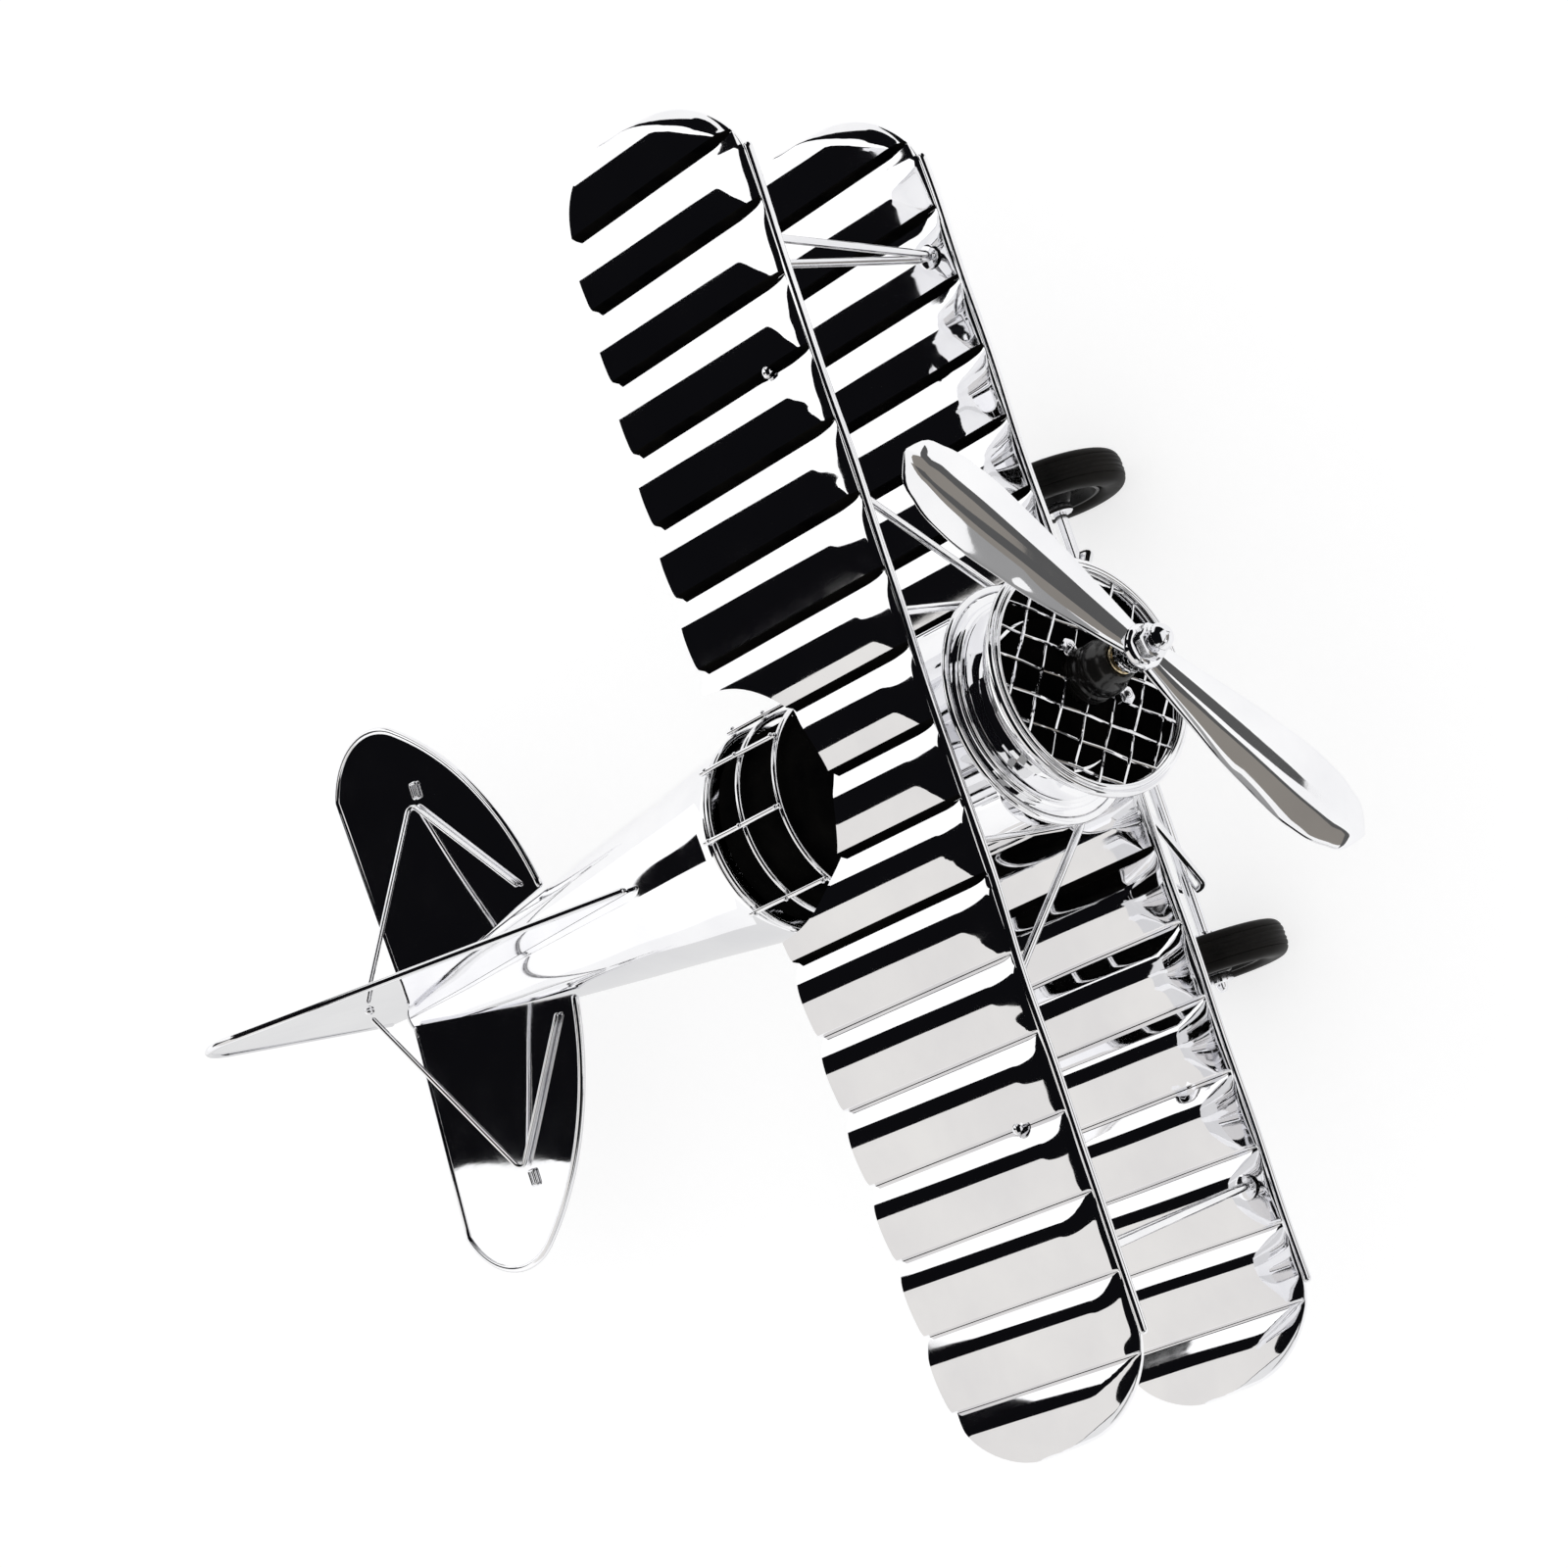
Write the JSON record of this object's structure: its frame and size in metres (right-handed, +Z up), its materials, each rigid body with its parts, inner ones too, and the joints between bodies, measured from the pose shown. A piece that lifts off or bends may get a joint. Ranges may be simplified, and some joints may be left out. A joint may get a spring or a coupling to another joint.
{
  "type": "propeller plane model",
  "caption": "Desk model of a biplane in bright plated sheet and wire, with a free-turning propeller behind a nose grille and two rolling wheels.",
  "frame": {"origin": "on the floor, under the centre of the bounding box, with the model standing on its wheels and tail skid", "axes": "+X to the port wing tip, -Y to the propeller, +Z up"},
  "size_m": [0.1594, 0.151, 0.0732],
  "materials": {
    "bright_sheet": "polished bright-plated steel sheet",
    "bright_wire": "bright-plated round steel wire and small fittings",
    "bright_turning": "bright-plated turned steel",
    "black_lining": "satin black paint",
    "dark_casting": "blackened metal",
    "brass_bush": "turned brass",
    "tyre_rubber": "black moulded rubber",
    "black_wheel_disc": "black moulded plastic"
  },
  "bodies": {
    "airframe": {"upper_wing": "bright_sheet", "upper_wing_leading_edge": "bright_wire", "lower_wing": "bright_sheet", "lower_wing_leading_edge": "bright_wire", "fuselage_shell": "bright_sheet", "cockpit_hoop_front": "bright_wire", "cockpit_hoop_middle": "bright_wire", "cockpit_hoop_rear": "bright_wire", "cockpit_liner": "black_lining", "cockpit_longerons": "bright_wire", "cage_rivets": "bright_turning", "tail_cone": "bright_sheet", "tail_cap": "bright_sheet", "firewall_dish": "bright_sheet", "firewall_rim": "bright_wire", "cowl_shell": "bright_sheet", "grille_bezel": "bright_wire", "nose_bulkhead": "black_lining", "grille_mesh": "bright_wire", "crankcase": "dark_casting", "crankcase_nuts": "bright_turning", "shaft_bush": "brass_bush", "fin": "bright_sheet", "fin_rim": "bright_wire", "fin_lugs": "bright_turning", "wing_rivets": "bright_turning", "axle": "bright_turning", "axle_collars": "bright_turning", "tail_skid": "bright_wire", "wing_saddle": "bright_sheet", "brace_clips": "bright_wire", "strut_feet": "bright_turning", "tailplane_port": "bright_sheet", "tailplane_rim_port": "bright_wire", "tail_brace_port": "bright_wire", "interplane_strut_port": "bright_wire", "diagonal_strut_port": "bright_wire", "cabane_strut_port": "bright_sheet", "gear_leg_port": "bright_wire", "tailplane_starboard": "bright_sheet", "tailplane_rim_starboard": "bright_wire", "tail_brace_starboard": "bright_wire", "interplane_strut_starboard": "bright_wire", "diagonal_strut_starboard": "bright_wire", "cabane_strut_starboard": "bright_sheet", "gear_leg_starboard": "bright_wire"},
    "propeller": {"propeller_blades": "bright_sheet", "propeller_shaft": "bright_turning", "propeller_collar": "bright_turning", "shaft_retainer": "bright_turning", "propeller_nut": "bright_turning", "propeller_cap": "bright_turning"},
    "wheel_port": {"tyre_port": "tyre_rubber", "wheel_hub_port": "black_wheel_disc"},
    "wheel_starboard": {"tyre_starboard": "tyre_rubber", "wheel_hub_starboard": "black_wheel_disc"}
  },
  "joints": [
    {"name": "propeller_spin", "type": "hinge", "parent": "airframe", "child": "propeller", "pos_m": [0, -0.05785, 0.0468], "axis": [0, -0.9272, 0.3746], "continuous": true},
    {"name": "wheel_port_spin", "type": "hinge", "parent": "airframe", "child": "wheel_port", "pos_m": [0.0303, -0.04502, 0.0092], "axis": [1, 0, 0], "continuous": true},
    {"name": "wheel_starboard_spin", "type": "hinge", "parent": "airframe", "child": "wheel_starboard", "pos_m": [-0.0303, -0.04502, 0.0092], "axis": [1, 0, 0], "continuous": true}
  ]
}
